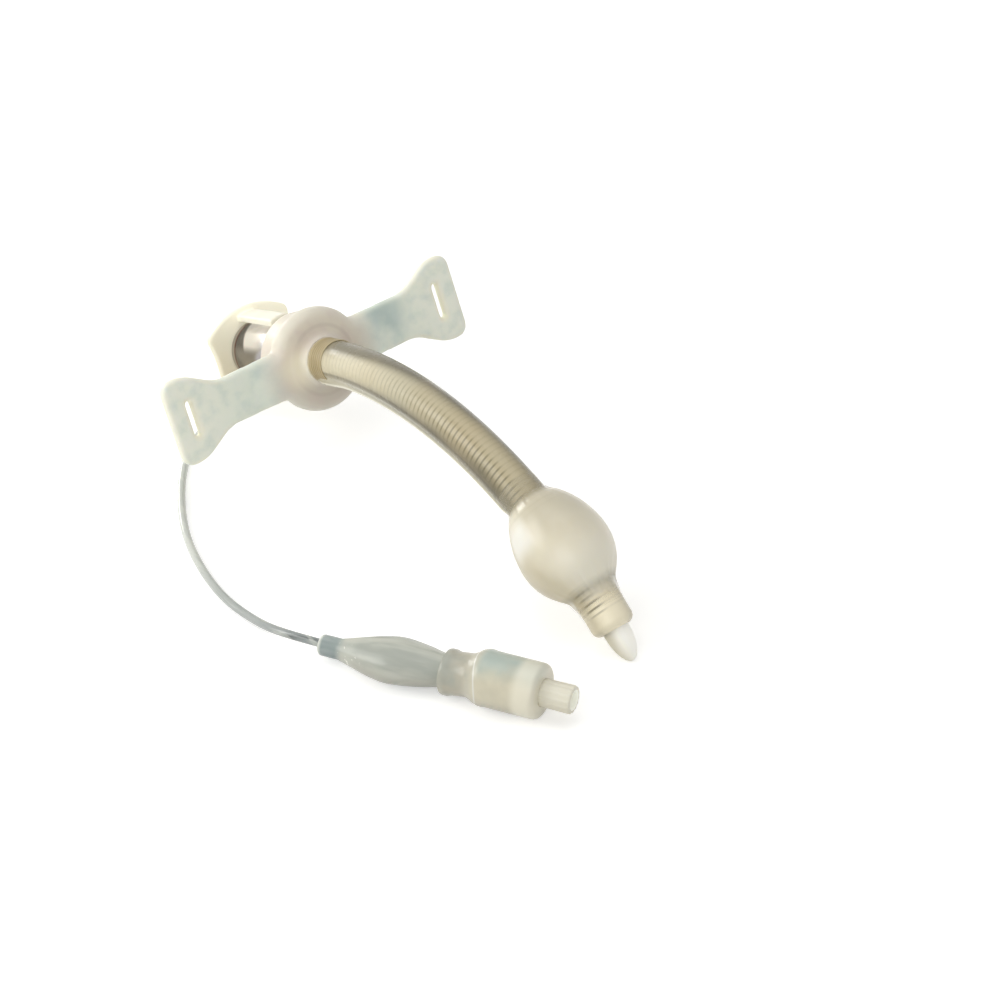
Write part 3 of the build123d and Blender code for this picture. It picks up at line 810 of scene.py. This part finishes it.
def addCuff():
    profile = cuffSet["profile"]
    first, last = profile[0][0], profile[-1][0]
    places = [first + (last - first) * step / cuffSet["steps"] for step in range(cuffSet["steps"] + 1)]
    rings = [(place, True) for place in places] + [(place, False) for place in places[::-8]]

    def shape(ring, angle):
        distance, outside = rings[ring]
        radius = tubeSet["radius"] + cuffSet["gap"]
        if outside:
            radius = threaded(profile, distance)
            grip = (1 - ease(distance, *cuffSet["nearGrip"])) * 0.5 + ease(distance, *cuffSet["farGrip"])
            grip *= ease(distance, *cuffSet["nearFilm"]) * (1 - ease(distance, *cuffSet["farFilm"]))
            one, two = cuffSet["folds"]
            wave = sin(angle * one + sin(distance * 0.5)) * 0.6 + sin(angle * two + 1.3) * 0.4
            radius += cuffSet["pucker"] * grip * wave
        return airwayAt(distance * mm) @ spoke(angle, radius)

    bm = ringed(len(rings), cuffSet["sides"], shape)

    def paint(pen):
        distance, side, height = tubePlaces(pen)
        turn = pen.maths("ARCTAN2", height, side)
        near, far = 1 - distance.between(85.6, 88.6), distance.between(109.6, 112.2)
        neck = pen.maths("MAXIMUM", near, far)
        # The film darker towards the bottom: painted shade
        colour = height.between(-9.0, 8.0).mix(tint(200, 190, 160), tint(236, 229, 206))
        colour = (distance.between(101.0, 112.0) * 0.4).mix(colour, tint(222, 210, 178))
        arcs = pen.maths("SINE", distance * 4.4 + turn).between(0.1, 0.9)
        arcs = arcs * (1 - distance.between(88.0, 93.0))
        colour = (arcs * 0.22).mix(colour, tint(190, 180, 150))
        colour = (neck * 0.7).mix(colour, tint(240, 229, 198))
        coil, flank = coilMarks(pen, distance, turn)
        colour = (coil.between(0.1, 0.95) * flank * far * 0.75).mix(colour, tint(112, 104, 76))
        colour = colour.clouded(75.0, 0.4, 0.75, 0.4, tint(214, 202, 174))
        # Painted shade on one side of the near half
        cuffShade = pen.maths("COSINE", turn - 1.8).between(0.3, 0.95) * (1 - distance.between(91.0, 103.0))
        colour = (cuffShade * 0.5).mix(colour, tint(176, 168, 144))
        # A painted highlight on one side of the far half
        cuffHighlight = pen.maths("COSINE", turn - 1.45).between(0.1, 0.9) * distance.between(98.0, 107.0)
        colour = (cuffHighlight * 0.8).mix(colour, tint(252, 246, 228))
        # A near-white painted highlight patch on the shoulder
        shoulderHighlight = pen.maths("COSINE", turn - 2.9).between(0.88, 0.99) * distance.band(94.0, 1.0, 6.0)
        colour = (shoulderHighlight * 0.8).mix(colour, tint(255, 253, 244))
        crease = pen.maths("SINE", turn * 31.0 + distance * 0.25) * neck
        film = pen.noise(150.0, 2.0).bump(0.06, 0.0003, crease.bump(0.25, 0.0002))
        return {
            "Base Color": colour,
            "Alpha": 0.95 - near * 0.8 - far * 0.52 - distance.between(112.6, 115.8) * 0.36,
            "Roughness": pen.mottled(60.0, 0.05, 0.28),
            "Normal": film,
        }

    fixed = soft(0.3, (1.0, 0.9, 0.65), 0.002) | {"Coat Weight": 0.3, "Coat Roughness": 0.22}
    material = newMaterial("cuffFilm", fixed, paint)
    newPiece("cuffBalloon", bm, material, "tube", ["cuff"], 60)


addCuff()
print("cuff done")

# Connector: a turned metal barrel
connectorSet = {
    "outline": [
        (6.5, -29.4), (6.6, -29.5), (7.2, -29.5), (7.42, -29.4), (7.5, -29.2), (7.5, -27.9),
        (7.42, -27.75), (7.42, -27.55), (7.5, -27.4), (7.5, -7.6), (6.6, -7.6), (6.6, -1.6),
        (5.3, -1.6), (5.3, -7.0), (3.75, -7.0), (3.75, -8.6), (5.9, -12.0),
    ],
    "sides": 160,
}


def addConnector():
    bm = turned(connectorSet["outline"], connectorSet["sides"])
    bm.transform(airwayAt(0))

    def paint(pen):
        side, height, depth = hubPlaces(pen)
        turn = pen.maths("ARCTAN2", height, side)
        stretched = pen.make("ShaderNodeCombineXYZ", None, {0: turn * 2.0, 1: depth * 9.0, 2: 0.0})
        brushed = pen.noise(3.0, 4.0, stretched)
        dark = brushed.between(0.35, 0.65).mix((0.06, 0.055, 0.06), (0.12, 0.11, 0.12))
        # Painted reflections on the chrome: a grey band low on the barrel, and a bright band past a slanting
        # edge that is also made to glow
        lowReflection = pen.maths("COSINE", turn - 3.2).between(0.78, 0.95)
        past = (depth - turn * 3.15 + 31.85).between(-0.4, 0.7)
        lit = past * (1 - lowReflection) * (1 - depth.between(-20.0, -12.0) * 0.5) * (0.8 + brushed * 0.3)
        colour = (lowReflection * 0.9).mix(dark, (0.33, 0.31, 0.31))
        colour = lit.mix(colour, (0.84, 0.82, 0.83))
        # A painted sheen at the lip
        lip = depth.band(-28.6, 0.5, 0.9)
        colour = (lip * 0.6).mix(colour, (0.62, 0.58, 0.56))
        line = depth.band(-27.75, 0.05, 0.3)
        return {
            "Base Color": (line * 0.7).mix(colour, (0.22, 0.10, 0.08)),
            "Emission Color": lit.mix((0, 0, 0), (0.72, 0.69, 0.68)),
            "Roughness": brushed.between(0.3, 0.7) * 0.08 + 0.1,
            "Normal": brushed.bump(0.08, 0.00003),
        }

    material = newMaterial("connectorMetal", {"Metallic": 1.0, "Emission Strength": 0.3}, paint)
    newPiece("connectorBarrel", bm, material, "tube", ["connector"], 30)


# Obturator handle: a waisted plate with an arm above and below, and a boss for the rod
handleSet = {
    "back": -31.7,
    "front": -29.5,
    "halfWidth": 12.2,
    "waist": 11.3,
    "corner": 7.2,
    "top": 11.7,
    "round": 1.3,
    "edge": 0.6,
    "armWidth": 5.2,
    "armRadii": (8.7, 10.4),
    "armFront": -12.6,
    "armSunk": 0.5,
    "armRound": 0.35,
    "boss": [(2.2, -30.6), (3.7, -30.6), (3.7, -25.6), (3.2, -25.0), (2.2, -25.0)],
    "bossSides": 64,
    "voxel": 0.25 * mm,
    "passes": 3,
}


def addHandle():
    wide, corner, waist, top = (handleSet[name] for name in ("halfWidth", "corner", "waist", "top"))
    upper = [(wide * step / 6, top - (top - corner) * (step / 6) ** 2) for step in range(-6, 7)]
    right = [(waist + (wide - waist) * (step / 3) ** 2, -corner * step / 3) for step in range(-2, 3)]
    points = upper + right + [(-x, -y) for x, y in upper + right]
    bm = bmesh.new()
    verts = [bm.verts.new((x * mm, y * mm, handleSet["back"] * mm)) for x, y in points]
    bm.faces.new(verts)
    corners = [vert for vert in verts if abs(abs(vert.co.x) - wide * mm) < 0.01 * mm]
    roundCorners(bm, corners, handleSet["round"] * mm, 6)
    thicken(bm, (handleSet["front"] - handleSet["back"]) * mm)
    roundEdges(bm, handleSet["edge"] * mm, 3, 60)
    boss = turned(handleSet["boss"], handleSet["bossSides"])
    shells = [meshOf(shell) for shell in (bm, boss, handleArm(1), handleArm(-1))]
    skin = moulded(shells, handleSet["voxel"], handleSet["passes"])
    skin.transform(airwayAt(0))

    def paint(pen):
        side, height, depth = hubPlaces(pen)
        front = depth.between(-29.0, -27.5)
        # Darker towards the bottom as painted shade, and paler on the arms as painted highlight
        colour = height.between(-11.0, 10.0).mix(tint(244, 234, 206), tint(252, 246, 224))
        colour = (front * 0.7).mix(colour, tint(248, 244, 228))
        colour = colour.clouded(90.0, 0.45, 0.7, 0.4, tint(244, 235, 208))
        glow = (1 - front) * (side + 12.0).between(0.0, 12.0)
        return {
            "Base Color": colour,
            "Emission Color": glow.mix((0.08, 0.075, 0.06), (1.0, 0.96, 0.8)),
            "Roughness": pen.mottled(300.0, 0.12, 0.28),
            "Normal": pen.noise(900.0, 2.0).bump(0.1, 0.00008),
        }

    fixed = soft(0.2, (1.0, 0.9, 0.7), 0.0012) | {"Emission Strength": 0.2}
    material = newMaterial("handlePlastic", fixed, paint)
    replaced = ["obturator_handle"]
    newPiece("obturatorHandle", skin, material, "obturator", replaced, 60)


def handleArm(sign):
    inner, outer = handleSet["armRadii"]
    back, front = handleSet["front"] - handleSet["armSunk"], handleSet["armFront"]
    half = handleSet["armWidth"] / 2
    acrossSteps = [half * step / 4 for step in range(-4, 5)]
    section = [(x, sqrt(outer * outer - x * x)) for x in acrossSteps]
    section += [(x, sqrt(inner * inner - x * x)) for x in reversed(acrossSteps)]

    def shape(ring, angle):
        x, y = section[round(angle / tau * len(section))]
        return Vector((x * sign, y * sign, (back, front)[ring])) * mm

    arm = ringed(2, len(section), shape, capped=True)
    bmesh.ops.recalc_face_normals(arm, faces=arm.faces)
    roundEdges(arm, handleSet["armRound"] * mm, 2, 40)
    return arm


addConnector()
addHandle()


def paintRod(pen):
    distance, side, height = tubePlaces(pen)
    # Darker towards the bottom: painted shade
    colour = height.between(-3.2, 3.2).mix(tint(236, 226, 196), tint(250, 246, 228))
    colour = colour.clouded(140.0, 0.4, 0.7, 0.35, tint(240, 230, 200))
    nose = distance.between(119.0, 122.0)
    lit = (side * 0.6 + height * 0.8).between(-2.2, 2.4)
    shade = lit.mix(tint(206, 200, 178), tint(255, 253, 243))
    return {
        "Base Color": nose.mix(colour, shade),
        "Emission Color": (nose * lit).mix((0, 0, 0), (1.0, 0.97, 0.86)),
        "Roughness": pen.mottled(260.0, 0.1, 0.3),
        "Normal": pen.noise(700.0, 2.0).bump(0.1, 0.00008),
    }


def refinish(node, material):
    frame["nodes"][node].material_slots[0].material = material


rodLook = soft(0.2, (1.0, 0.9, 0.7), 0.0015) | {"Emission Strength": 0.13}
refinish("obturator_rod", newMaterial("rodPlastic", rodLook, paintRod))
print("connector and obturator done")

# Pilot balloon: a leaf of film that swells from its collar, creased lengthwise
balloonSet = {
    "start": 1.4,
    "collarRadius": 2.5,
    "collarEnd": 6.4,
    "end": 36.6,
    "swellEnd": 32.6,
    "collarHeight": 3.8,
    "axisHeight": 5.4,
    "neck": 3.9,
    "halfWidth": 6.4,
    "halfHeight": 4.8,
    "swell": [(0, 0), (0.17, 0.33), (0.36, 0.74), (0.54, 1), (0.72, 0.8), (0.87, 0.46), (1, 0)],
    "steps": 80,
    "sides": 96,
    "crease": 0.16,
    "lip": [(0.7, 0.55), (0.58, 0.3), (0.35, 0.1)],
}


def valvePlaces(pen):
    place = pen.place()
    side = pen.along(place, upward.cross(heading) / mm, portMouth)
    height = pen.along(place, upward / mm, portMouth)
    distance = pen.along(place, heading / mm, portMouth) + valvePort / mm
    return distance, side, height


def balloonForm(distance):
    start, stop = balloonSet["collarEnd"], balloonSet["swellEnd"]
    share = min(1, max(0, (distance - start) / (stop - start)))
    swell = max(0, threaded(balloonSet["swell"], share)) if 0 < share < 1 else 0
    base = balloonSet["collarRadius"] + share * (balloonSet["neck"] - balloonSet["collarRadius"])
    height = balloonSet["collarHeight"] + share * (balloonSet["axisHeight"] - balloonSet["collarHeight"])
    wide = base + swell * (balloonSet["halfWidth"] - base)
    tall = base + swell * (balloonSet["halfHeight"] - base)
    return wide, tall, height, swell


def addBalloon():
    lip, steps = balloonSet["lip"], balloonSet["steps"]
    first, last = balloonSet["start"] + lip[0][0], balloonSet["end"]
    rings = [(first - back, sunk) for back, sunk in lip]
    rings += [(first + (last - first) * step / steps, 0) for step in range(steps + 1)]

    def shape(ring, angle):
        distance, sunk = rings[ring]
        wide, tall, height, swell = balloonForm(distance)
        wave = (sin(angle * 7 + distance * 0.16) + 0.5 * sin(angle * 12 + 2)) / 2
        crease = balloonSet["crease"] * swell * wave
        place = Vector(((wide - sunk + crease) * cos(angle), (tall - sunk + crease) * sin(angle), 0))
        return valveAt(distance * mm, height * mm) @ (place * mm)

    bm = ringed(len(rings), balloonSet["sides"], shape, capped=True)

    def paint(pen):
        distance, side, height = valvePlaces(pen)
        collar = 1 - distance.between(5.6, 8.2)
        lip = 1 - distance.between(1.7, 2.6)
        # Darker towards the bottom: painted shade
        colour = height.between(-6.0, 3.0).mix(tint(166, 164, 151), tint(203, 205, 193))
        drawn = {0: distance * 0.035, 1: side * 0.22, 2: height * 0.22}
        fold = pen.noise(1.0, 3.0, pen.make("ShaderNodeCombineXYZ", None, drawn))
        colour = (fold.between(0.38, 0.62) * 0.65).mix(colour, tint(156, 162, 153))
        # A soft painted highlight band near the collar
        highlightSpot = distance.band(9.5, 0.5, 3.2)
        colour = (highlightSpot * 0.3).mix(colour, tint(214, 218, 204))
        # Painted white glints near the collar
        glintSpeck = pen.noise(1300.0, 1.0).between(0.68, 0.75) * (1 - distance.between(11.0, 15.0))
        colour = (glintSpeck * 0.7).mix(colour, tint(248, 248, 236))
        # Folds darker low down: painted shade
        low = (1 - height.between(-6.5, -2.5)) * fold.between(0.35, 0.6)
        colour = (low * 0.75).mix(colour, tint(140, 147, 143))
        # The collar darker towards the bottom: painted shade
        glass = height.between(-5.0, -0.8).mix(tint(118, 132, 132), tint(162, 175, 172))
        colour = collar.mix(colour, glass)
        return {
            "Base Color": lip.mix(colour, tint(236, 238, 228)),
            "Alpha": 0.94 - fold.between(0.4, 0.7) * 0.06 - collar * 0.16,
            "Roughness": pen.mottled(70.0, 0.06, 0.3),
            "Normal": fold.bump(0.35, 0.0008, pen.noise(500.0, 3.0).bump(0.1, 0.0001)),
        }

    fixed = soft(0.25, (0.9, 1.0, 0.9), 0.0015) | {"Coat Weight": 0.25, "Coat Roughness": 0.25}
    material = newMaterial("balloonFilm", fixed, paint)
    return newPiece("pilotBalloon", bm, material, "tube", ["pilot_balloon"], 60)


# Valve sleeve: clear soft plastic that shows the white valve inside it
valveSet = {
    "sleeve": [
        (3.92, 33.2), (4.9, 33.2), (5.3, 33.45), (5.4, 33.9), (5.4, 34.8), (5.25, 35.3), (5.08, 35.9),
        (5.05, 39.0), (5.15, 39.7), (5.6, 40.7), (6.25, 41.8), (6.6, 42.9), (6.62, 43.8), (6.5, 44.6),
        (6.5, 55.8), (6.42, 56.4), (6.15, 56.95), (5.7, 57.3), (5.1, 57.4), (3.3, 57.4), (3.22, 57.2),
        (3.22, 56.0), (5.02, 56.0), (5.02, 43.0), (1.62, 43.0), (1.62, 37.0), (3.92, 36.8),
    ],
    "body": [
        (3.0, 43.9), (5.0, 43.9), (5.0, 56.0), (3.2, 56.0), (3.2, 64.3), (3.05, 64.65), (2.75, 64.8),
        (2.3, 64.8), (2.15, 64.6), (2.15, 59.8), (1.8, 59.8), (1.8, 55.8), (1.25, 55.8), (1.25, 54.6),
        (3.0, 54.6),
    ],
    "sleeveSides": 128,
    "bodySides": 112,
    "portStart": 56.0,
    "portWall": 2.6,
    "facets": 14,
    "facetDepth": 0.13,
    "sag": 1.1 * mm,
    "sagPlaces": (34.5, 43.0),
}


def addValve():
    bm = turned(valveSet["sleeve"], valveSet["sleeveSides"])
    for vert in bm.verts:
        vert.co.y -= valveSet["sag"] * (1 - ease(vert.co.z / mm, *valveSet["sagPlaces"]))
    bm.transform(valveAt(0))

    def paintSleeve(pen):
        distance, side, height = valvePlaces(pen)
        blotch = pen.noise(150.0, 3.0)
        # Darker towards the bottom: painted shade
        colour = height.between(-6.0, 0.0).mix(tint(174, 169, 152), tint(230, 223, 198))
        blue = (height + blotch * 4.0).between(5.2, 8.6) * distance.between(41.0, 44.0)
        colour = (blue * 0.8).mix(colour, tint(178, 198, 192))
        neck = 1 - distance.between(39.0, 44.0)
        colour = (neck * 0.75).mix(colour, tint(190, 184, 166))
        colour = (neck * blotch.between(0.3, 0.7) * 0.8).mix(colour, tint(172, 177, 167))
        colour = colour.clouded(120.0, 0.45, 0.7, 0.4, tint(202, 196, 174))
        band = distance.between(50.8, 53.4)
        colour = (band * 0.7).mix(colour, tint(242, 237, 217))
        # The seam's thin bright line is a painted highlight, fading towards the bottom
        bowed = distance - 42.1 + side * 0.16 + height * height * 0.02
        seamHighlight = bowed.band(0.0, 0.05, 0.3) * height.between(-4.5, -1.0)
        colour = (seamHighlight * 0.75).mix(colour, tint(246, 246, 238))
        return {
            "Base Color": colour,
            "Alpha": 0.84 + band * 0.1,
            "Roughness": pen.mottled(80.0, 0.06, 0.28),
            "Normal": pen.noise(420.0, 3.0).bump(0.1, 0.0002),
        }

    material = newMaterial("sleevePlastic", {"Coat Weight": 0.3, "Coat Roughness": 0.2}, paintSleeve)
    sleeve = newPiece("valveSleeve", bm, material, "tube", ["valve_sleeve"], 45)

    core = valveSet["body"]

    def shape(ring, angle):
        radius, distance = core[ring]
        if distance > valveSet["portStart"] and radius > valveSet["portWall"]:
            radius += valveSet["facetDepth"] * cos(angle * valveSet["facets"])
        return valveAt(distance * mm) @ spoke(angle, radius)

    bm = ringed(len(core), valveSet["bodySides"], shape)

    def paintBody(pen):
        distance, side, height = valvePlaces(pen)
        radius = pen.maths("SQRT", side * side + height * height)
        # Darker towards the bottom: painted shade
        colour = height.between(-3.0, 3.0).mix(tint(220, 214, 194), tint(236, 232, 214))
        colour = colour.clouded(150.0, 0.4, 0.7, 0.3, tint(236, 230, 212))
        # The inside of the port is painted pale and made to glow
        inside = (1 - radius.between(2.2, 2.5)) * distance.between(60.0, 64.0)
        return {
            "Base Color": (inside * 0.5).mix(colour, tint(224, 226, 218)),
            "Emission Color": inside.mix((0, 0, 0), (0.92, 0.95, 0.9)),
            "Roughness": pen.mottled(300.0, 0.1, 0.3),
            "Normal": pen.noise(800.0, 2.0).bump(0.1, 0.00008),
        }

    fixed = soft(0.2, (1.0, 0.95, 0.8), 0.001) | {"Emission Strength": 0.3}
    material = newMaterial("valvePlastic", fixed, paintBody)
    body = newPiece("valveBody", bm, material, "tube", ["valve_body"], 35)
    for node in ("valve_base", "valve_plunger"):
        refinish(node, material)
    return sleeve, body


def paintSeal(pen):
    return {
        "Base Color": pen.noise(600.0).between(0.3, 0.7).mix((0.10, 0.10, 0.10), (0.16, 0.16, 0.155)),
        "Normal": pen.noise(1500.0).bump(0.15, 0.0001),
    }


def paintSpring(pen):
    return {
        "Base Color": pen.noise(800.0).between(0.3, 0.7).mix((0.42, 0.42, 0.43), (0.62, 0.62, 0.64)),
        "Roughness": pen.noise(1200.0).between(0.3, 0.7) * 0.15 + 0.2,
    }


balloon = addBalloon()
valveSleeve, valveBody = addValve()
refinish("valve_seal", newMaterial("sealRubber", {"Roughness": 0.6}, paintSeal))
refinish("valve_spring", newMaterial("springSteel", {"Metallic": 1.0}, paintSpring))
print("balloon and valve done")

# Pilot line: one smooth curve over the table, from the flange's collar to the balloon's
lineSet = {
    "radius": 1.0 * mm,
    "length": 0.1396,
    "route": [
        (-6.61, 47.85, 13.58), (-6.61, 56.65, 10.02), (-11.0, 63.89, 4.6), (-18.6, 65.69, 1.4),
        (-27.6, 61.09, 1.0), (-36.4, 52.69, 1.0), (-44.6, 41.09, 1.0), (-50.6, 29.89, 1.0),
        (-54.9, 17.09, 1.0), (-57.2, 4.29, 1.0), (-56.6, -7.31, 1.1), (-56.27, -18.82, 4.1),
        (-50.01, -31.11, 4.1),
    ],
    "colours": [(0.27, 0.30, 0.295), (0.66, 0.69, 0.63)],
}


def addLine():
    data = bpy.data.curves.new("pilotLine", "CURVE")
    data.dimensions = "3D"
    data.bevel_depth = lineSet["radius"]
    data.bevel_resolution = 6
    data.resolution_u = 16
    data.use_fill_caps = True
    spline = data.splines.new("NURBS")
    spline.points.add(len(lineSet["route"]) - 1)
    for point, place in zip(spline.points, lineSet["route"]):
        point.co = (*(Vector(place) * mm), 1)
    spline.order_u = 3
    spline.use_endpoint_u = True

    def paint(pen):
        distance, side = valvePlaces(pen)[:2]
        colour = distance.between(-60.0, 0.0).mix(*reversed(lineSet["colours"]))
        colour = colour.clouded(60.0, 0.4, 0.7, 0.4, (0.66, 0.67, 0.64))
        stripe = side.band(-0.25, 0.05, 0.45)
        colour = (stripe * distance.between(-22.0, -6.0) * 0.8).mix(colour, tint(88, 96, 94))
        drawn = pen.vectors("MULTIPLY", pen.place(), (1.0, 0.12, 1.0))
        streak = pen.noise(500.0, 1.0, drawn).between(0.52, 0.6)
        colour = (streak * 0.35).mix(colour, tint(236, 238, 226))
        return {
            "Base Color": colour,
            "Roughness": pen.mottled(300.0, 0.1, 0.14),
        }

    material = newMaterial("clearLine", {"Coat Weight": 0.5, "Coat Roughness": 0.12, "Alpha": 0.84}, paint)
    return adopt("pilotLine", data, material, "tube", ["pilot_line"])


line = addLine()
inner = [frame["nodes"][name] for name in ("valve_base", "valve_plunger", "valve_seal", "valve_spring")]
lineParts = [balloon, valveSleeve, valveBody] + inner
print("pilot line done")
